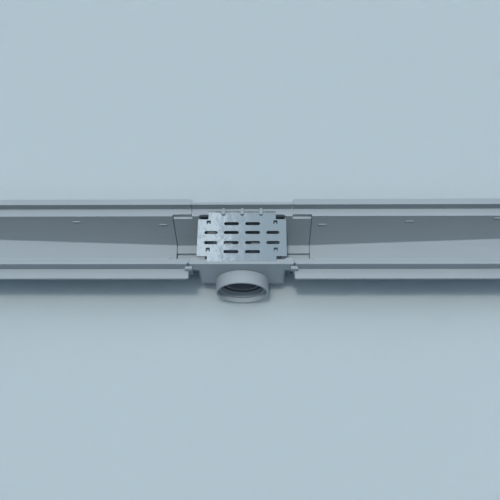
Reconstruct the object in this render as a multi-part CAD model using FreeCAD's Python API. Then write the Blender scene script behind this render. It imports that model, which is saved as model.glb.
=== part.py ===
import FreeCAD, Part
import math
import os

# Linear shower channel drain: a moulded sump body in the middle, with an
# upright rim along both edges, and two shallow channels lapped onto its ends.
# All sizes are millimetres. X runs along the channel, Y across it towards the
# back, Z up. The origin lies under the middle of the sump, on the ground.

# Cross section shared by all channel pieces
overall_length = 600.0
rim_outer_width = 64.0
rim_wall = 2.8
rim_height = 8.5
ledge_width = 7.6
ledge_height = 56.5
ledge_over_flange = 2.0
flange_width = 9.5
wall = 2.4
wall_slope_deg = 10.9
edge_round = 0.5

# Floor of the channels
floor_height_at_sump = 12.0
floor_fall_deg = 3.0
gutter_width = 8.4
gutter_depth = 3.4
floor_corner_radius = 1.5

# Ends of the two channels
rim_end_radius = 8.0
flange_end_radius = 12.0
trough_end_radius = 7.0
flange_corner_radius = 1.8

# Lap joints between the sump body and the channels
centre_length = 95.2
seam_gap = 0.6
lap_length = 17.6
lap_gap = 0.2
lap_end_gap = 0.6
stub_drop = 3.8
lap_corner_radius = 1.5
ledge_corner_radius = 2.5
seal_width = 4.0
seal_inset = 5.0
seal_groove_depth = 1.0
seam_notch_width = 0.8
seam_notch_depth = 1.0
seam_notch_height = 5.4

# Clips that hold the rims together across each seam
clip_length = 6.8
clip_depth = 2.6
clip_drop = 4.4
clip_wall = 1.1
lug_length = 1.9
lug_height = 3.8
lug_play = 0.15

# Snap lugs along the channel walls
wall_lug_length = 7.5
wall_lug_depth = 0.8
wall_lug_height = 1.8
wall_lug_share = 0.73
wall_lug_pitch = 82.0
wall_lug_first = 76.0
wall_lug_count = 3

# Sump under the middle
sump_length = 81.4
sump_taper_deg = 0.8
sump_corner_radius = 6.0
sump_belly_radius = 26.5
sump_end_radius = 9.0
flare_height = 12.0
mouth_length = 83.2
mouth_step = 1.7
mouth_corner_radius = 3.8
mouth_skirt = 4.4
pad_width = 50.4
pad_edge_radius = 4.0

# Outlet on the front of the sump
outlet_height = 27.0
outlet_diameter = 50.0
outlet_wall = 2.2
outlet_reach = 12.5
outlet_lip_chamfer = 0.6
collar_bore = 40.0
collar_length = 8.0
collar_play = 0.1

# Ribs that locate the strainer on the back ledge
rib_count = 3
rib_pitch = 17.6
rib_width = 2.5
rib_length = 6.4
rib_rise = 1.6

# Stamped strainer plate
plate_thickness = 1.0
plate_front_gap = 0.1
plate_back_gap = 3.1
plate_mouth_gap = 0.4
tongue_length = 63.2
tongue_reach = 8.4
plate_corner_radius = 1.2
notch_width = 4.0
notch_depth = 4.6
slot_height = 3.2
inner_slot_length = 13.8
outer_slot_length = 12.2
slot_column_middle = 19.7
slot_column_outer = 18.8
slot_row_middle = 10.5
slot_row_outer = 9.3
tab_across = 62.2
tab_back_inset = 3.1
tab_front_inset = 6.9
tab_size = 3.6
tab_slit = 0.8
tab_bend = 1.2

# Trap cassette in the sump
cassette_width = 44.0
cassette_back = 1.0
cassette_wall = 1.8
cassette_headroom = 7.5
cassette_floor = 5.0
cassette_play = 0.6
weir_height = 30.0
weir_place = -12.0
dip_height = 10.0
port_bore = 29.4
port_wall = 1.8
port_reach = 5.8
grip_inner_x = 8.2
grip_length = 8.6
grip_height = 4.4
grip_width = 2.4
grip_place = -5.4
grip_corner_radius = 2.0
trap_seal_length = 4.0

# Values that follow from the ones above
slope = math.tan(math.radians(wall_slope_deg))
slope_cosine = math.cos(math.radians(wall_slope_deg))
fall = math.tan(math.radians(floor_fall_deg))
rim_half = rim_outer_width / 2
tray_half = rim_half - rim_wall
ledge_half = tray_half - ledge_width
rim_top = ledge_height + rim_height
flange_top = ledge_height - ledge_over_flange
flange_under = flange_top - wall
ledge_under = ledge_height - wall
flange_half = rim_half + flange_width
seam_x = centre_length / 2
centre_end_x = seam_x - seam_gap / 2
channel_start_x = seam_x + seam_gap / 2
stub_end_x = seam_x + lap_length
lap_end_x = stub_end_x + lap_end_gap
stub_top = ledge_height - stub_drop
lap_offset = wall + lap_gap
channel_end_x = overall_length / 2
rim_end_x = channel_end_x - flange_width
tray_end_x = rim_end_x - rim_wall
trough_end_x = tray_end_x - ledge_width
clip_top = rim_top - clip_drop
seam_notch_base = rim_top - seam_notch_height
mouth_half = mouth_length / 2
mouth_width = 2 * (ledge_half + mouth_step)
sump_taper = math.tan(math.radians(sump_taper_deg))
flare_base = ledge_height - flare_height
flare_slope = (mouth_half + wall - sump_length / 2) / flare_height
plate_shift = (plate_front_gap - plate_back_gap) / 2
tongue_width = 2 * tray_half - plate_front_gap - plate_back_gap
plate_wide_width = tongue_width - 2 * tongue_reach
plate_length = mouth_length - 2 * plate_mouth_gap
tab_back = plate_wide_width / 2 - tab_back_inset
tab_front = tab_front_inset - plate_wide_width / 2
cassette_front = -rim_half + wall + cassette_play
cassette_top = ledge_height - cassette_headroom
outlet_radius = outlet_diameter / 2
outlet_bore_radius = outlet_radius - outlet_wall
collar_radius = outlet_bore_radius - collar_play

# Margins of the cutting shapes and of the search for edges
spare = 5.0
over = 1.0
closeness = 0.01


def box(x0, x1, y0, y1, z0, z1):
    """Block between two corners."""
    corner = FreeCAD.Vector(x0, y0, z0)
    return Part.makeBox(x1 - x0, y1 - y0, z1 - z0, corner)


def face_of(edges):
    """Flat face inside a closed run of edges."""
    return Part.Face(Part.Wire(edges))


def polygon(points):
    """Closed wire through the points."""
    return Part.makePolygon(points + [points[0]])


def arc(start, middle, end):
    """Edge that bends through three points."""
    return Part.Arc(start, middle, end).toShape()


def round_plan(x0, x1, half, z, r0, r1):
    """Plan outline, even about the X axis, with round corners at each end."""
    x_list = [(x0, r0, 1), (x1, r1, -1)]
    edges = []
    corners = []
    for x, r, inward in x_list:
        for side in (-1, 1):
            along = FreeCAD.Vector(x + inward * r, side * half, z)
            across = FreeCAD.Vector(x, side * (half - r), z)
            bulge = r * (1 - math.sqrt(0.5))
            middle = FreeCAD.Vector(x + inward * bulge, side * (half - bulge), z)
            edges.append(arc(along, middle, across))
            corners.append((along, across))
    front0, back0, front1, back1 = corners
    ordered = [
        edges[0],
        Part.makeLine(front0[1], back0[1]),
        edges[1],
        Part.makeLine(back0[0], back1[0]),
        edges[3],
        Part.makeLine(back1[1], front1[1]),
        edges[2],
        Part.makeLine(front1[0], front0[0]),
    ]
    return Part.Wire(ordered)


def round_block(x0, x1, half, z0, z1, r0, r1):
    """Upright block on that outline."""
    face = Part.Face(round_plan(x0, x1, half, z0, r0, r1))
    return face.extrude(FreeCAD.Vector(0, 0, z1 - z0))


def mirror_x(shape):
    """The same shape on the other side of the sump."""
    return shape.mirror(FreeCAD.Vector(0, 0, 0), FreeCAD.Vector(1, 0, 0))


def mirror_y(shape):
    """The same shape on the other edge of the channel."""
    return shape.mirror(FreeCAD.Vector(0, 0, 0), FreeCAD.Vector(0, 1, 0))


def flip_x(point):
    return FreeCAD.Vector(-point.x, point.y, point.z)


def flip_y(point):
    return FreeCAD.Vector(point.x, -point.y, point.z)


def both_ends(shape):
    return shape.fuse(mirror_x(shape))


def both_edges(shape):
    return shape.fuse(mirror_y(shape))


def wall_y(z):
    """Half width of the channel's hollow at a height."""
    return ledge_half - slope * (ledge_height - z)


def channel_floor(x):
    """Height of the channel's floor at a place along it."""
    return floor_height_at_sump + fall * (x - stub_end_x)


def trough_section(x, offset, top, floor, with_gutter):
    """Outline across the channel, pushed outwards by the offset."""
    side = offset / slope_cosine
    foot = floor - offset
    half = [(wall_y(top) + side, top), (wall_y(foot) + side, foot)]
    if with_gutter:
        gutter_half = gutter_width / 2 + offset
        half.append((gutter_half, foot))
        half.append((gutter_half, foot - gutter_depth))
    points = [FreeCAD.Vector(x, y, z) for y, z in half]
    points += [FreeCAD.Vector(x, -y, z) for y, z in reversed(half)]
    return polygon(points)


def level_trough(x0, x1, offset, top):
    """Level trough with the gutter, as at the sump."""
    face = Part.Face(trough_section(x0, offset, top, floor_height_at_sump, True))
    return face.extrude(FreeCAD.Vector(x1 - x0, 0, 0))


def sloping_trough(x0, offset, top, corner_radius):
    """Trough whose floor rises to the closed, leaning end of a channel."""
    far = channel_end_x + spare
    near_wire = trough_section(x0, offset, top, channel_floor(x0), False)
    far_wire = trough_section(far, offset, top, channel_floor(far), False)
    body = Part.makeLoft([near_wire, far_wire], True, True)
    side = offset / slope_cosine
    low = 0.0
    outline = [
        FreeCAD.Vector(x0 - spare, -rim_half, low),
        FreeCAD.Vector(trough_end_x + side - slope * (ledge_height - low), -rim_half, low),
        FreeCAD.Vector(trough_end_x + side + slope * (top - ledge_height), -rim_half, top),
        FreeCAD.Vector(x0 - spare, -rim_half, top),
    ]
    end_cut = Part.Face(polygon(outline)).extrude(FreeCAD.Vector(0, rim_outer_width, 0))
    body = body.common(end_cut)
    end_edges = [e for e in body.Edges if is_end_corner(e, top)]
    body = body.makeFillet(corner_radius + offset, end_edges)
    floor_edges = [e for e in body.Edges if is_floor_edge(e, x0)]
    return body.makeFillet(floor_corner_radius + offset, floor_edges)


def is_end_corner(edge, top):
    """True for the two leaning corners at the closed end."""
    if len(edge.Vertexes) != 2:
        return False
    first, last = edge.Vertexes[0].Point, edge.Vertexes[1].Point
    rises = abs(first.z - last.z) > (top - channel_floor(channel_end_x)) / 2
    return rises and min(first.x, last.x) > stub_end_x + spare


def is_floor_edge(edge, x0):
    """True for the edges round the floor, but not for the open near end."""
    box_size = edge.BoundBox
    near_end = box_size.XMax < x0 + closeness
    return box_size.ZMax < channel_floor(channel_end_x) + spare and not near_end


def u_profile(x_half, y_half, base, radius, top):
    """Block along the channel whose two bottom edges are rounded."""
    bulge = radius * (1 - math.sqrt(0.5))
    x = -x_half
    upper = FreeCAD.Vector(x, y_half, base + radius)
    middle = FreeCAD.Vector(x, y_half - bulge, base + bulge)
    lower = FreeCAD.Vector(x, y_half - radius, base)
    top_back = FreeCAD.Vector(x, y_half, top)
    edges = [
        Part.makeLine(top_back, upper),
        arc(upper, middle, lower),
        Part.makeLine(lower, flip_y(lower)),
        arc(flip_y(lower), flip_y(middle), flip_y(upper)),
        Part.makeLine(flip_y(upper), flip_y(top_back)),
        Part.makeLine(flip_y(top_back), top_back),
    ]
    return face_of(edges).extrude(FreeCAD.Vector(2 * x_half, 0, 0))


def tapered_block(half0, half1, inset, z0, z1):
    """Block on the sump's plan whose ends lean from one half length to another."""
    corner = sump_corner_radius - inset
    lower = round_plan(-half0, half0, rim_half - inset, z0, corner, corner)
    upper = round_plan(-half1, half1, rim_half - inset, z1, corner, corner)
    return Part.makeLoft([lower, upper], True, True)


def sump_solid(inset, top):
    """Tapered sump that flares to its mouth, moved inwards by the inset."""
    angle = math.radians(sump_taper_deg)
    flare_half = sump_length / 2 - inset / math.cos(angle)
    base_half = flare_half - sump_taper * (flare_base - inset)
    tapered = tapered_block(base_half, flare_half, inset, inset, flare_base)
    belly = u_profile(flare_half, rim_half - inset, inset, sump_belly_radius - inset, flare_base)
    ends = end_profile(base_half, angle, inset, sump_end_radius - inset, flare_base)
    top_half = flare_half + flare_slope * (top - flare_base)
    flare = tapered_block(flare_half, top_half, inset, flare_base, top)
    return tapered.common(belly).common(ends).fuse(flare)


def end_profile(base_half, angle, base, radius, top):
    """Block across the channel that rounds the sump's two end edges."""
    rise = radius * (1 - math.sin(angle)) / math.cos(angle)
    centre_x = base_half + rise * math.sin(angle) - radius * math.cos(angle)
    y = -rim_half
    touch = FreeCAD.Vector(base_half + rise * math.sin(angle), y, base + rise * math.cos(angle))
    lowest = FreeCAD.Vector(centre_x, y, base)
    middle_angle = (math.pi / 2 + angle) / 2
    middle_x = centre_x + radius * math.cos(middle_angle)
    middle_z = base + radius - radius * math.sin(middle_angle)
    middle = FreeCAD.Vector(middle_x, y, middle_z)
    wide = FreeCAD.Vector(sump_length, y, touch.z)
    wide_top = FreeCAD.Vector(sump_length, y, top)
    edges = [
        Part.makeLine(wide_top, wide),
        Part.makeLine(wide, touch),
        arc(touch, middle, lowest),
        Part.makeLine(lowest, flip_x(lowest)),
        arc(flip_x(lowest), flip_x(middle), flip_x(touch)),
        Part.makeLine(flip_x(touch), flip_x(wide)),
        Part.makeLine(flip_x(wide), flip_x(wide_top)),
        Part.makeLine(flip_x(wide_top), wide_top),
    ]
    return face_of(edges).extrude(FreeCAD.Vector(0, rim_outer_width, 0))


def pad_solid(inset, top):
    """Square-cut middle of the sump, flat where the outlet leaves."""
    return u_profile(pad_width / 2 - inset, rim_half - inset, inset, pad_edge_radius - inset, top)


def outlet_cylinder(radius, y0, y1):
    """Cylinder on the outlet's axis between two planes."""
    start = FreeCAD.Vector(0, y0, outlet_height)
    return Part.makeCylinder(radius, y1 - y0, start, FreeCAD.Vector(0, 1, 0))


def clip_lug(x0, x1):
    """Small lug on the front of a rim, held by a clip."""
    depth = clip_depth - clip_wall - lug_play
    top = clip_top - clip_wall
    return box(x0, x1, -rim_half - depth, -rim_half, top - lug_height, top)


def seam_notch():
    """Cut-out in the outer top corner of both rims at a seam."""
    reach = seam_notch_width + seam_gap / 2
    y0 = -rim_half - over
    y1 = -rim_half + seam_notch_depth
    return box(seam_x - reach, seam_x + reach, y0, y1, seam_notch_base, rim_top + over)


def soften_long_edges(shape, levels):
    """Round the long straight edges that lie at the given (Y, Z) places."""
    chosen = []
    for edge in shape.Edges:
        size = edge.BoundBox
        if size.YLength > closeness or size.ZLength > closeness or size.XLength < 2 * spare:
            continue
        for y, z in levels:
            if abs(abs(size.YMin) - y) < closeness and abs(size.ZMin - z) < closeness:
                chosen.append(edge)
    return shape.makeFillet(edge_round, chosen)


def rim_levels():
    """Places of the top edges of the rims."""
    return [(rim_half, rim_top), (tray_half, rim_top)]


def seal_strip(x0, x1, inner, outer):
    """Strip that follows the outside of a stub."""
    top = stub_top - wall
    solid = level_trough(x0, x1, outer, top)
    return solid.cut(level_trough(x0 - over, x1 + over, inner, top + over))


def make_joint_seal():
    """Rubber strip in the groove round a stub, pressed by the channel."""
    x1 = stub_end_x - seal_inset
    inner = wall - seal_groove_depth
    return seal_strip(x1 - seal_width, x1, inner, lap_offset)


def make_stub():
    """Outer shape of the channel stubs that stick out of the body."""
    body = level_trough(-stub_end_x, stub_end_x, wall, stub_top)
    x1 = stub_end_x - seal_inset
    groove = seal_strip(x1 - seal_width, x1, wall - seal_groove_depth, wall + spare)
    return body.cut(both_ends(groove))


def make_rim_block():
    """Rims and ledges of the middle piece, before the hollows are cut."""
    block = box(-centre_end_x, centre_end_x, -rim_half, rim_half, flange_under, rim_top)
    tray = box(-seam_x, seam_x, -tray_half, tray_half, ledge_height, rim_top + over)
    under = box(-seam_x, seam_x, -tray_half, tray_half, flange_under - over, ledge_under)
    return block.cut(tray).cut(under)


def ledge_corner_tool():
    """Tool that rounds the inner corner of the front ledge above the stub."""
    x = centre_end_x - ledge_corner_radius
    y = -ledge_half - ledge_corner_radius
    height = ledge_height + over - stub_top
    corner = box(x, centre_end_x + over, y, 0, stub_top, ledge_height + over)
    rounded = Part.makeCylinder(ledge_corner_radius, height, FreeCAD.Vector(x, y, stub_top))
    return corner.cut(rounded)


def make_mouth_skirt():
    """Wall that hangs under the ledges round the mouth of the sump."""
    base = ledge_height - mouth_skirt
    half = mouth_half + wall
    width = mouth_width / 2 + wall
    radius = mouth_corner_radius + wall
    block = round_block(-half, half, width, base, ledge_height, radius, radius)
    block = block.common(sump_solid(0.0, ledge_height))
    return block.cut(mouth_solid(base - over, ledge_height + over))


def mouth_solid(z0, z1):
    """Upright block on the plan of the mouth."""
    radius = mouth_corner_radius
    return round_block(-mouth_half, mouth_half, mouth_width / 2, z0, z1, radius, radius)


def make_outlet_collar():
    """Short collar on the front wall that carries the outlet spigot."""
    return outlet_cylinder(collar_radius, -rim_half - collar_length, -rim_half + wall)


def make_locating_ribs():
    """Ribs on the back ledge that fit the notches of the strainer."""
    ribs = []
    for place in range(rib_count):
        x = (place - (rib_count - 1) / 2) * rib_pitch
        y0 = tray_half - rib_length
        top = ledge_height + rib_rise
        ribs.append(box(x - rib_width / 2, x + rib_width / 2, y0, tray_half + rim_wall / 2, ledge_under, top))
    return ribs[0].multiFuse(ribs[1:])


def make_centre_body():
    """Sump, channel stubs, ledges and rims, moulded in one."""
    body = make_rim_block().fuse(sump_solid(0.0, ledge_height))
    body = body.fuse(pad_solid(0.0, sump_belly_radius))
    body = body.fuse(make_stub())
    seat = level_trough(-centre_end_x, centre_end_x, wall, ledge_height)
    body = body.fuse(seat)
    body = body.cut(sump_solid(wall, ledge_under))
    body = body.cut(pad_solid(wall, ledge_under))
    body = body.fuse(make_mouth_skirt())
    body = body.cut(mouth_solid(ledge_under - over, rim_top))
    body = body.cut(level_trough(-stub_end_x - over, stub_end_x + over, 0.0, ledge_height + over))
    body = body.cut(both_ends(ledge_corner_tool()))
    body = body.fuse(make_outlet_collar())
    body = body.cut(outlet_cylinder(collar_bore / 2, -rim_half - collar_length - over, -rim_half + 2 * wall))
    body = soften_long_edges(body, rim_levels())
    body = body.fuse(make_locating_ribs())
    lug_x = centre_end_x - lug_length
    body = body.fuse(both_edges(both_ends(clip_lug(lug_x, centre_end_x))))
    return body.cut(both_edges(both_ends(seam_notch())))


def make_wall_lugs():
    """Small snap lugs that follow the slope of the channel's floor."""
    lugs = []
    rise = wall_lug_share * (ledge_height - floor_height_at_sump)
    for place in range(wall_lug_count):
        x = wall_lug_first + place * wall_lug_pitch
        top = channel_floor(x) + rise
        y1 = wall_y(top) + wall / 2
        y0 = wall_y(top) - wall_lug_depth
        lug = box(x - wall_lug_length / 2, x + wall_lug_length / 2, y0, y1, top - wall_lug_height, top)
        lugs.append(both_edges(lug))
    return lugs[0].multiFuse(lugs[1:])


def make_channel_rim():
    """Flange, rim and ledge of a channel, before the hollows are cut."""
    start = channel_start_x
    corner = flange_corner_radius
    end = flange_end_radius
    flange = round_block(start, channel_end_x, flange_half, flange_under, flange_top, corner, end)
    rim = open_round_block(start, rim_end_x, rim_half, flange_under, rim_top, rim_end_radius)
    tray_radius = rim_end_radius - rim_wall
    tray = open_round_block(start - over, tray_end_x, tray_half, ledge_height, rim_top + over, tray_radius)
    under_z = flange_under - over
    under = open_round_block(start - over, tray_end_x, tray_half, under_z, ledge_under, tray_radius)
    return flange.fuse(rim).cut(tray).cut(under)


def open_round_block(x0, x1, half, z0, z1, radius):
    """Block with two round corners at its far end and a square near end."""
    long_block = round_block(x0 - 2 * radius, x1, half, z0, z1, radius, radius)
    keep = box(x0, x1, -half, half, z0, z1)
    return long_block.common(keep)


def make_channel():
    """One side channel, with its end widened to lap over the stub."""
    start = channel_start_x
    body = make_channel_rim()
    outer = sloping_trough(stub_end_x, wall, ledge_height, trough_end_radius)
    body = body.fuse(outer)
    joggle_end = lap_end_x + wall
    body = body.fuse(level_trough(start, joggle_end, lap_offset + wall, ledge_height))
    body = body.cut(sloping_trough(lap_end_x, 0.0, ledge_height + over, trough_end_radius))
    body = body.cut(level_trough(start - over, lap_end_x, lap_offset, stub_top))
    lap_half = wall_y(stub_top) + lap_offset / slope_cosine
    radius = lap_corner_radius
    body = body.cut(open_round_block(start - over, lap_end_x, lap_half, stub_top, rim_top, radius))
    levels = rim_levels() + [(flange_half, flange_top)]
    body = soften_long_edges(body, levels)
    body = body.fuse(make_wall_lugs())
    lug = both_edges(clip_lug(start, start + lug_length))
    return body.fuse(lug).cut(both_edges(seam_notch()))


def make_clip():
    """Clip pushed down over the two lugs beside a seam."""
    half = clip_length / 2
    height = clip_wall + lug_height + lug_play
    base = clip_top - height
    outer = box(seam_x - half, seam_x + half, -rim_half - clip_depth, -rim_half, base, clip_top)
    pocket_half = seam_gap / 2 + lug_length + lug_play
    y0 = -rim_half - clip_depth + clip_wall
    y1 = -rim_half + over
    top = clip_top - clip_wall
    pocket = box(seam_x - pocket_half, seam_x + pocket_half, y0, y1, base - over, top)
    return outer.cut(pocket)


def make_clips():
    """The four clips, two at each seam."""
    clip = make_clip()
    back = mirror_y(clip)
    return Part.makeCompound([clip, back, mirror_x(clip), mirror_x(back)])


def make_spigot():
    """Outlet pipe stub pushed over the collar against the front wall."""
    mouth_y = -rim_half - outlet_reach
    body = outlet_cylinder(outlet_radius, mouth_y, -rim_half)
    chamfered = [e for e in body.Edges if abs(e.BoundBox.YMax - mouth_y) < closeness]
    body = body.makeChamfer(outlet_lip_chamfer, chamfered)
    return body.cut(outlet_cylinder(outlet_bore_radius, mouth_y - over, -rim_half + over))


def slot(x, y, length):
    """Tool that cuts one slot with round ends through the plate."""
    straight = length - slot_height
    z0 = ledge_height - over
    height = plate_thickness + 2
    half = slot_height / 2
    middle = box(x - straight / 2, x + straight / 2, y - half, y + half, z0, z0 + height)
    ends = []
    for side in (-1, 1):
        centre = FreeCAD.Vector(x + side * straight / 2, y, z0)
        ends.append(Part.makeCylinder(half, height, centre))
    return middle.multiFuse(ends)


def slot_places():
    """Places and lengths of all slots, from the back row to the front."""
    column_inner = slot_column_middle / 2
    column_outer = column_inner + slot_column_outer
    row_inner = slot_row_middle / 2
    row_outer = row_inner + slot_row_outer
    places = []
    for row in (row_outer, row_inner, -row_inner, -row_outer):
        for side in (-1, 1):
            places.append((side * column_inner, row, inner_slot_length))
            if abs(row) < row_outer:
                places.append((side * column_outer, row, outer_slot_length))
    return places


def tab_slit_tool(x, y):
    """Slit on three sides of a punched tab, open at its front hinge."""
    half = tab_size / 2
    z0 = ledge_height - over
    z1 = ledge_height + plate_thickness + over
    whole = box(x - half, x + half, y - half, y + half, z0, z1)
    inner = box(x - half + tab_slit, x + half - tab_slit, y - half - over, y + half - tab_slit, z0, z1)
    return whole.cut(inner)


def bent_tab(x, y):
    """Tongue of sheet bent down out of the plate inside the slit."""
    half = tab_size / 2 - tab_slit
    y0 = y - tab_size / 2
    y1 = y + tab_size / 2 - tab_slit
    top = ledge_height + plate_thickness
    outline = [
        FreeCAD.Vector(x - half, y0, top),
        FreeCAD.Vector(x - half, y1, top - tab_bend),
        FreeCAD.Vector(x - half, y1, top - tab_bend - plate_thickness),
        FreeCAD.Vector(x - half, y0, top - plate_thickness),
    ]
    return Part.Face(polygon(outline)).extrude(FreeCAD.Vector(2 * half, 0, 0))


def make_strainer_plate():
    """Steel plate that lies on the ledges over the sump."""
    z0 = ledge_height
    z1 = ledge_height + plate_thickness
    radius = plate_corner_radius
    wide = round_block(-plate_length / 2, plate_length / 2, plate_wide_width / 2, z0, z1, radius, radius)
    tongue = round_block(-tongue_length / 2, tongue_length / 2, tongue_width / 2, z0, z1, radius, radius)
    plate = wide.fuse(tongue)
    for x, y, length in slot_places():
        plate = plate.cut(slot(x, y, length))
    for place in range(rib_count):
        x = (place - (rib_count - 1) / 2) * rib_pitch
        plate = plate.cut(notch_tool(x))
    for side in (-1, 1):
        for y in (tab_back, tab_front):
            x = side * tab_across / 2
            plate = plate.cut(tab_slit_tool(x, y))
            half = tab_size / 2 - tab_slit
            y0 = y - tab_size / 2
            plate = plate.cut(box(x - half, x + half, y0, y + half, z0 - over, z1 + over))
            plate = plate.fuse(bent_tab(x, y))
    plate.translate(FreeCAD.Vector(0, plate_shift, 0))
    return plate


def notch_tool(x):
    """Notch with a round end in the back edge of the plate."""
    z0 = ledge_height - over
    height = plate_thickness + 2
    edge_y = tongue_width / 2
    centre_y = edge_y - notch_depth + notch_width / 2
    straight = box(x - notch_width / 2, x + notch_width / 2, centre_y, edge_y + over, z0, z0 + height)
    rounded = Part.makeCylinder(notch_width / 2, height, FreeCAD.Vector(x, centre_y, z0))
    return straight.fuse(rounded)


def make_cassette_shell():
    """Box of the trap, with its two chambers hollowed out."""
    half = cassette_width / 2
    inner_half = half - cassette_wall
    shell = box(-half, half, cassette_front, cassette_back, wall, cassette_top)
    roof = cassette_top - cassette_wall
    under = wall - over
    chamber_front = cassette_front + cassette_wall
    chamber_back = weir_place - cassette_wall / 2
    floor = cassette_floor + cassette_wall
    shell = shell.cut(box(-inner_half, inner_half, chamber_front, chamber_back, floor, roof))
    passage_front = weir_place + cassette_wall / 2
    passage_back = cassette_back - cassette_wall
    shell = shell.cut(box(-inner_half, inner_half, passage_front, passage_back, under, roof))
    y0 = chamber_back - over
    y1 = passage_front + over
    shell = shell.cut(box(-inner_half, inner_half, y0, y1, weir_height, roof))
    y0 = cassette_front - over
    shell = shell.cut(box(-inner_half, inner_half, y0, y1, under, cassette_floor))
    y1 = cassette_front + pad_edge_radius
    shell = shell.cut(box(-half - over, half + over, y0, y1, under, cassette_floor))
    y0 = passage_back - over
    y1 = cassette_back + over
    return shell.cut(box(-inner_half, inner_half, y0, y1, under, dip_height))


def make_cassette_port():
    """Round port that plugs into the bore of the collar."""
    y0 = cassette_front - port_reach
    return outlet_cylinder(port_bore / 2 + port_wall, y0, cassette_front + cassette_wall)


def make_cassette_grip():
    """Finger grip on top of the trap, one of the two by which it is lifted out."""
    radius = grip_corner_radius
    bulge = radius * (1 - math.sqrt(0.5))
    x0, x1 = grip_inner_x, grip_inner_x + grip_length
    y0 = grip_place - grip_width / 2
    base = cassette_top - cassette_wall / 2
    top = cassette_top + grip_height
    corners = [
        FreeCAD.Vector(x0, y0, base),
        FreeCAD.Vector(x0, y0, top - radius),
        FreeCAD.Vector(x0 + radius, y0, top),
        FreeCAD.Vector(x1 - radius, y0, top),
        FreeCAD.Vector(x1, y0, top - radius),
        FreeCAD.Vector(x1, y0, base),
    ]
    edges = [
        Part.makeLine(corners[0], corners[1]),
        arc(corners[1], FreeCAD.Vector(x0 + bulge, y0, top - bulge), corners[2]),
        Part.makeLine(corners[2], corners[3]),
        arc(corners[3], FreeCAD.Vector(x1 - bulge, y0, top - bulge), corners[4]),
        Part.makeLine(corners[4], corners[5]),
        Part.makeLine(corners[5], corners[0]),
    ]
    return face_of(edges).extrude(FreeCAD.Vector(0, grip_width, 0))


def make_trap_cassette():
    """Trap that stands in the sump and feeds the outlet."""
    body = make_cassette_shell().fuse(make_cassette_port())
    y0 = cassette_front - port_reach - over
    port = outlet_cylinder(port_bore / 2, y0, cassette_front + cassette_wall + over)
    return body.cut(port).fuse(both_ends(make_cassette_grip()))


def make_trap_seal():
    """Rubber ring between the trap's port and the collar."""
    y0 = cassette_front - port_reach
    ring = outlet_cylinder(collar_bore / 2, y0, y0 + trap_seal_length)
    return ring.cut(outlet_cylinder(port_bore / 2 + port_wall, y0 - over, y0 + trap_seal_length + over))


def save(name, shape):
    """Write one piece."""
    shape.removeSplitter().exportStep(os.path.join("parts", name + ".step"))


os.makedirs("parts", exist_ok=True)
right_channel = make_channel()
right_seal = make_joint_seal()
save("centre_body", make_centre_body())
save("right_channel", right_channel)
save("left_channel", mirror_x(right_channel))
save("right_joint_seal", right_seal)
save("left_joint_seal", mirror_x(right_seal))
save("rim_clips", make_clips())
save("outlet_spigot", make_spigot())
save("strainer_plate", make_strainer_plate())
save("trap_cassette", make_trap_cassette())
save("trap_seal", make_trap_seal())
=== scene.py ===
import math

import bmesh
import bpy
from mathutils import Matrix, Vector


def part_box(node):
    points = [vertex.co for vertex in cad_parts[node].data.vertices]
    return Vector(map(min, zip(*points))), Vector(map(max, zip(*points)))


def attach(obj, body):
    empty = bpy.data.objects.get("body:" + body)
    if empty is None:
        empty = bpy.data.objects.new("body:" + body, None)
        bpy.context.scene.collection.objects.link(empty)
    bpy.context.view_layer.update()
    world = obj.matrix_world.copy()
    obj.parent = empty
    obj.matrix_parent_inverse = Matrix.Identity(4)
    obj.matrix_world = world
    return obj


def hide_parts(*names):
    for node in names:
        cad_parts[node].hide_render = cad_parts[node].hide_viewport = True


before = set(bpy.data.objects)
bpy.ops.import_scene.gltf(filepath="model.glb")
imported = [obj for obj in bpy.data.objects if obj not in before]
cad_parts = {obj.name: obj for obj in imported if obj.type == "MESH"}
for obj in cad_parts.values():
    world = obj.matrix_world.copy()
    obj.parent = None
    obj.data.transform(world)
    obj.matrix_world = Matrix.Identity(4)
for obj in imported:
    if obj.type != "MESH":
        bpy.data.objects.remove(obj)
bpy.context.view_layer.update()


# Camera
# It stands in front of the drain and looks steeply down on its middle, as the
# photograph was taken. Its place and turn come from fitting the drain's edges.
camera_place = Vector((0.01723, -0.27699, 0.58924))
camera_down = math.radians(63.705)
camera_turn = math.radians(2.102)
camera_roll = math.radians(-1.956)
focal_length_pixels = 649
image_width_pixels = 500
film_width = 36
nearest_seen = 0.01

camera_data = bpy.data.cameras.new("photo_camera")
camera_data.sensor_width = film_width
camera_data.lens = focal_length_pixels * film_width / image_width_pixels
camera_data.clip_start = nearest_seen
camera = bpy.data.objects.new("photo_camera", camera_data)
bpy.context.scene.collection.objects.link(camera)
camera.matrix_world = (
    Matrix.Translation(camera_place)
    @ Matrix.Rotation(camera_turn, 4, "Z")
    @ Matrix.Rotation(math.pi / 2 - camera_down, 4, "X")
    @ Matrix.Rotation(camera_roll, 4, "Z")
)
bpy.context.scene.camera = camera


# Table
# The drain stands on a plain pale blue table with a dull lacquer. The table is
# the stage and only catches the shadows.
table_size = 12.0


def linear(colour):
    """Turn an sRGB hex colour into the linear values that a shader takes."""
    parts = [int(colour[i:i + 2], 16) / 255 for i in (1, 3, 5)]
    values = [c / 12.92 if c <= 0.04045 else ((c + 0.055) / 1.055) ** 2.4 for c in parts]
    return (*values, 1.0)


def add_node(tree, kind, inputs, **settings):
    """Add a node. Each input takes a plain value or another node's output."""
    node = tree.nodes.new("ShaderNode" + kind)
    for name, value in settings.items():
        setattr(node, name, value)
    for name, value in inputs.items():
        if isinstance(value, bpy.types.NodeSocket):
            tree.links.new(value, node.inputs[name])
        else:
            node.inputs[name].default_value = value
    return node


def per_metre(size):
    """Pattern scale whose features are about this many millimetres across."""
    return 1000 / size


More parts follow.
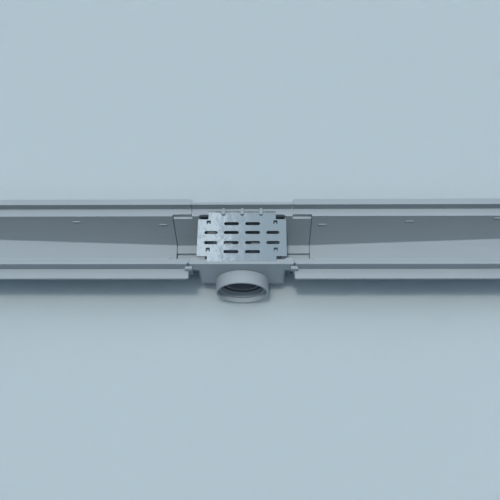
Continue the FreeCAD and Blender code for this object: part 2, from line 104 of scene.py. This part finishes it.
def new_material(name):
    """Start a material with an empty node tree."""
    material = bpy.data.materials.new(name)
    material.use_nodes = True
    material.node_tree.nodes.clear()
    return material


def finish_material(tree, **inputs):
    """Close a material with its surface shader and output."""
    names = {key.replace("_", " "): value for key, value in inputs.items()}
    shader = add_node(tree, "BsdfPrincipled", names, subsurface_method="BURLEY")
    add_node(tree, "OutputMaterial", {"Surface": shader.outputs["BSDF"]})


def link_object(name, mesh, material):
    """Put a finished mesh into the scene with its material."""
    mesh.materials.append(material)
    thing = bpy.data.objects.new(name, mesh)
    bpy.context.scene.collection.objects.link(thing)
    return thing


def lacquered_table():
    """Dull lacquer: an even pale blue with the faintest clouding."""
    material = new_material("lacquered_table")
    tree = material.node_tree
    where = add_node(tree, "TexCoord", {}).outputs["Object"]
    cloud = add_node(tree, "TexNoise", {"Vector": where, "Scale": per_metre(170), "Detail": 3.0})
    colour = add_node(tree, "Mix", {
        "Factor": cloud.outputs["Fac"], "A": linear("#9BABB4"), "B": linear("#9FAFB8"),
    }, data_type="RGBA")
    finish_material(
        tree, Base_Color=colour.outputs["Result"], Roughness=0.7, IOR=1.5,
        Subsurface_Weight=0.6, Subsurface_Radius=(0.7, 0.85, 1.0), Subsurface_Scale=0.08,
    )
    return material


mesh_builder = bmesh.new()
bmesh.ops.create_grid(mesh_builder, x_segments=1, y_segments=1, size=table_size / 2)
table_mesh = bpy.data.meshes.new("table")
mesh_builder.to_mesh(table_mesh)
mesh_builder.free()
table = link_object("table", table_mesh, lacquered_table())


# Light
# One soft lamp hangs nearly overhead, a little to the front and left, and stays
# out of reflections. The sky is bright and bluish overhead and fades towards the
# horizon. A narrow panel behind on the left shows as a reflection in the steel.
lamp_tilt_front = math.radians(6.6)
lamp_tilt_left = math.radians(4.4)
lamp_spread = math.radians(4.0)
lamp_energy = 1.92
lamp_colour = (1.1, 1.0, 0.87)
sky_colour = "#E2F1FF"
sky_overhead = 2.25
sky_at_horizon = 0.02
sky_falloff = 4.0
reflected_colour = "#C8D8E3"
reflected_strength = 0.77
panel_width = 0.06
panel_length = 0.70
panel_brightness = 1.2
panel_place = (-0.165, 0.75, 1.5)

lamp_data = bpy.data.lights.new("overhead_lamp", "SUN")
lamp_data.energy = lamp_energy
lamp_data.angle = lamp_spread
lamp_data.color = lamp_colour
lamp = bpy.data.objects.new("overhead_lamp", lamp_data)
bpy.context.scene.collection.objects.link(lamp)
lamp.visible_glossy = False
lamp.rotation_euler = (lamp_tilt_front, -lamp_tilt_left, 0.0)

world = bpy.data.worlds.new("studio")
world.use_nodes = True
bpy.context.scene.world = world
sky = world.node_tree
sky.nodes.clear()
direction = add_node(sky, "TexCoord", {}).outputs["Generated"]
height = add_node(sky, "SeparateXYZ", {0: direction}).outputs["Z"]
height = add_node(sky, "Clamp", {0: height}).outputs[0]
rise = add_node(sky, "Math", {0: height, 1: sky_falloff}, operation="POWER").outputs[0]
level = add_node(sky, "Math", {
    0: rise, 1: sky_overhead, 2: sky_at_horizon,
}, operation="MULTIPLY_ADD").outputs[0]
fill = add_node(sky, "Background", {"Color": linear(sky_colour), "Strength": level})
backdrop = add_node(sky, "Background", {"Color": linear(reflected_colour), "Strength": reflected_strength})
path = add_node(sky, "LightPath", {}).outputs
seen = add_node(sky, "Math", {
    0: path["Is Camera Ray"], 1: path["Is Glossy Ray"],
}, operation="MAXIMUM").outputs[0]
seen = add_node(sky, "Math", {0: seen, 1: path["Is Transmission Ray"]}, operation="MAXIMUM").outputs[0]
mixed = add_node(sky, "MixShader", {0: seen, 1: fill.outputs[0], 2: backdrop.outputs[0]})
add_node(sky, "OutputWorld", {"Surface": mixed.outputs[0]})

panel_data = bpy.data.lights.new("rear_panel", "AREA")
panel_data.shape = "RECTANGLE"
panel_data.size = panel_width
panel_data.size_y = panel_length
panel_data.energy = panel_brightness * math.pi * panel_width * panel_length
panel = bpy.data.objects.new("rear_panel", panel_data)
bpy.context.scene.collection.objects.link(panel)
panel.location = panel_place


# Moulded body and channels
# The sump body and the two channels are injection-moulded in one satin plastic.
# Each channel laps over a stub of the body. The mould leaves the outer edges
# slightly round and faint flow streaks on the faces.
mould_edge_radius = 0.00025
merge_distance = 0.00002
shortest_step = 0.00015
flat_angle = math.radians(0.3)
sharp_angle = math.radians(30)
shading_angle = math.radians(50)
bevel_segments = 2


def corner_normal(corner, areas):
    """Mean normal of the faces that meet smoothly at a face corner, by area."""
    total = Vector()
    for face in corner.vert.link_faces:
        if face.normal.dot(corner.face.normal) > math.cos(shading_angle):
            total += face.normal * areas[face.index]
    return total.normalized()


def shade_by_area(builder, mesh):
    """Write the mesh so that flat faces look flat and round ones look round."""
    builder.normal_update()
    builder.faces.index_update()
    areas = [face.calc_area() for face in builder.faces]
    for face in builder.faces:
        face.smooth = True
    normals = [corner_normal(corner, areas) for face in builder.faces for corner in face.loops]
    builder.to_mesh(mesh)
    mesh.normals_split_custom_set(normals)


def edges_to_round(builder):
    """Sharp outer edges, without those that meet a step too short to be rounded."""
    sharp = [edge for edge in builder.edges if edge.calc_face_angle(0.0) > sharp_angle]
    sharp_set = set(sharp)
    ends = {end for edge in sharp for end in edge.verts}
    corners = {end for end in ends if len(sharp_set.intersection(end.link_edges)) > 2}
    short = [edge for edge in sharp if edge.calc_length() < shortest_step]
    steps = [edge for edge in short if corners.issuperset(edge.verts)]
    kept_sharp = {end for step in steps for end in step.verts}
    return [edge for edge in sharp if edge.is_convex and kept_sharp.isdisjoint(edge.verts)]


def rounded_copy(node_name, piece_name, edge_radius, material):
    """Copy a CAD node's shape, merge it and round its outer edges inside the node's box."""
    builder = bmesh.new()
    builder.from_mesh(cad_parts[node_name].data)
    bmesh.ops.remove_doubles(builder, verts=builder.verts, dist=merge_distance)
    bmesh.ops.dissolve_limit(builder, angle_limit=flat_angle, verts=builder.verts, edges=builder.edges)
    bmesh.ops.bevel(
        builder, geom=edges_to_round(builder), affect="EDGES", offset=edge_radius, offset_type="OFFSET",
        segments=bevel_segments, profile=0.5, material=-1, clamp_overlap=False,
    )
    lowest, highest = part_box(node_name)
    for point in builder.verts:
        point.co = [min(max(value, low), high) for value, low, high in zip(point.co, lowest, highest)]
    mesh = bpy.data.meshes.new(piece_name)
    shade_by_area(builder, mesh)
    builder.free()
    piece = link_object(piece_name, mesh, material)
    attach(piece, "root")
    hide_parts(node_name)
    return piece


def satin_moulded_plastic():
    """Satin ABS from a polished mould: soft sheen, faint flow streaks along the channel.

    The grain of the mould is finer than 0.4 mm, but is drawn at that size so that it shows.
    """
    material = new_material("satin_moulded_plastic")
    tree = material.node_tree
    where = add_node(tree, "TexCoord", {}).outputs["Object"]
    cloud = add_node(tree, "TexNoise", {"Vector": where, "Scale": per_metre(40), "Detail": 2.0})
    streak_scale = (per_metre(125), per_metre(5.5), per_metre(5.5))
    stretched = add_node(tree, "Mapping", {"Vector": where, "Scale": streak_scale}).outputs["Vector"]
    streak = add_node(tree, "TexNoise", {"Vector": stretched, "Scale": 1.0, "Detail": 3.0})
    both = add_node(tree, "Math", {0: cloud.outputs["Fac"], 1: streak.outputs["Fac"]}, operation="ADD")
    half = add_node(tree, "Math", {0: both.outputs[0], 1: 0.5}, operation="MULTIPLY")
    colour = add_node(tree, "Mix", {
        "Factor": half.outputs[0], "A": linear("#86939C"), "B": linear("#919EA7"),
    }, data_type="RGBA")
    grain = add_node(tree, "TexNoise", {"Vector": where, "Scale": per_metre(0.4), "Detail": 1.0})
    bump = add_node(tree, "Bump", {"Strength": 0.08, "Distance": 0.0002, "Height": grain.outputs["Fac"]})
    finish_material(
        tree, Base_Color=colour.outputs["Result"], Roughness=0.42, IOR=1.53, Normal=bump.outputs["Normal"]
    )
    return material


plastic = satin_moulded_plastic()
for node_name in ("centre_body", "left_channel", "right_channel"):
    piece = rounded_copy(node_name, "moulded_" + node_name, mould_edge_radius, plastic)


# Rim clips
# Four small moulded clips of the same plastic. Each is pressed over the lugs of
# two pieces where they meet, and so holds the rims together.
clip_edge_radius = 0.00025

piece = rounded_copy("rim_clips", "moulded_rim_clips", clip_edge_radius, plastic)


# Outlet spigot
# A short round pipe of the same plastic, pushed over the collar of the sump. Its
# free end is cut square and its edges are slightly round.
pipe_edge_radius = 0.0004

piece = rounded_copy("outlet_spigot", "moulded_outlet_spigot", pipe_edge_radius, plastic)


# Odour trap
# A cassette moulded in matt plastic, which stands loose in the sump and is lifted
# out by two finger grips. Its port reaches into the outlet. Its grey is painted
# darker than the body's plastic, as painted shade inside the outlet.
trap_edge_radius = 0.00025


def shade_darkened_polypropylene():
    """Matt grey polypropylene from an etched mould: dull, with a fine even grain, painted darker as shade.
    """
    material = new_material("shade_darkened_polypropylene")
    tree = material.node_tree
    where = add_node(tree, "TexCoord", {}).outputs["Object"]
    cloud = add_node(tree, "TexNoise", {"Vector": where, "Scale": per_metre(25), "Detail": 2.0})
    # Both greys are painted darker than the pale body plastic: painted shade inside the outlet.
    colour = add_node(tree, "Mix", {
        "Factor": cloud.outputs["Fac"], "A": linear("#626D76"), "B": linear("#6B767F"),
    }, data_type="RGBA")
    grain = add_node(tree, "TexNoise", {"Vector": where, "Scale": per_metre(0.6), "Detail": 1.0})
    bump = add_node(tree, "Bump", {"Strength": 0.2, "Distance": 0.0002, "Height": grain.outputs["Fac"]})
    finish_material(
        tree, Base_Color=colour.outputs["Result"], Roughness=0.62, IOR=1.49, Normal=bump.outputs["Normal"]
    )
    return material


piece = rounded_copy("trap_cassette", "moulded_trap_cassette", trap_edge_radius, shade_darkened_polypropylene())


# Strainer plate
# A stainless sheet, punched with slots and notches, with four tabs bent down.
# It lies loose on the ledges; the mill finish is a soft, slightly wavy mirror.
punched_edge_radius = 0.00008


def rolled_stainless():
    """Stainless sheet with a mill finish: a soft mirror that is slightly wavy."""
    material = new_material("rolled_stainless")
    tree = material.node_tree
    where = add_node(tree, "TexCoord", {}).outputs["Object"]
    wave = add_node(tree, "TexNoise", {"Vector": where, "Scale": per_metre(7.7), "Detail": 2.0})
    bump = add_node(tree, "Bump", {"Strength": 1.0, "Distance": 0.0002, "Height": wave.outputs["Fac"]})
    finish_material(
        tree, Base_Color=linear("#C3CDD3"), Metallic=1.0, Roughness=0.16, Normal=bump.outputs["Normal"]
    )
    return material


piece = rounded_copy("strainer_plate", "punched_strainer_plate", punched_edge_radius, rolled_stainless())


# Rubber seals
# A rubber strip lies in a groove round each end of the sump body, where a channel
# laps over it, and a ring seals the trap's port. Both are nearly black.
seal_edge_radius = 0.0002


def moulded_rubber():
    """Moulded rubber: nearly black and dull, with a faint grey bloom."""
    material = new_material("moulded_rubber")
    tree = material.node_tree
    where = add_node(tree, "TexCoord", {}).outputs["Object"]
    bloom = add_node(tree, "TexNoise", {"Vector": where, "Scale": per_metre(8), "Detail": 2.0})
    colour = add_node(tree, "Mix", {
        "Factor": bloom.outputs["Fac"], "A": linear("#17181A"), "B": linear("#232527"),
    }, data_type="RGBA")
    finish_material(tree, Base_Color=colour.outputs["Result"], Roughness=0.6, IOR=1.52)
    return material


rubber = moulded_rubber()
for node_name in ("left_joint_seal", "right_joint_seal", "trap_seal"):
    piece = rounded_copy(node_name, "rubber_" + node_name, seal_edge_radius, rubber)


# Finish
bpy.context.scene.view_settings.view_transform = "Standard"
bpy.context.view_layer.update()
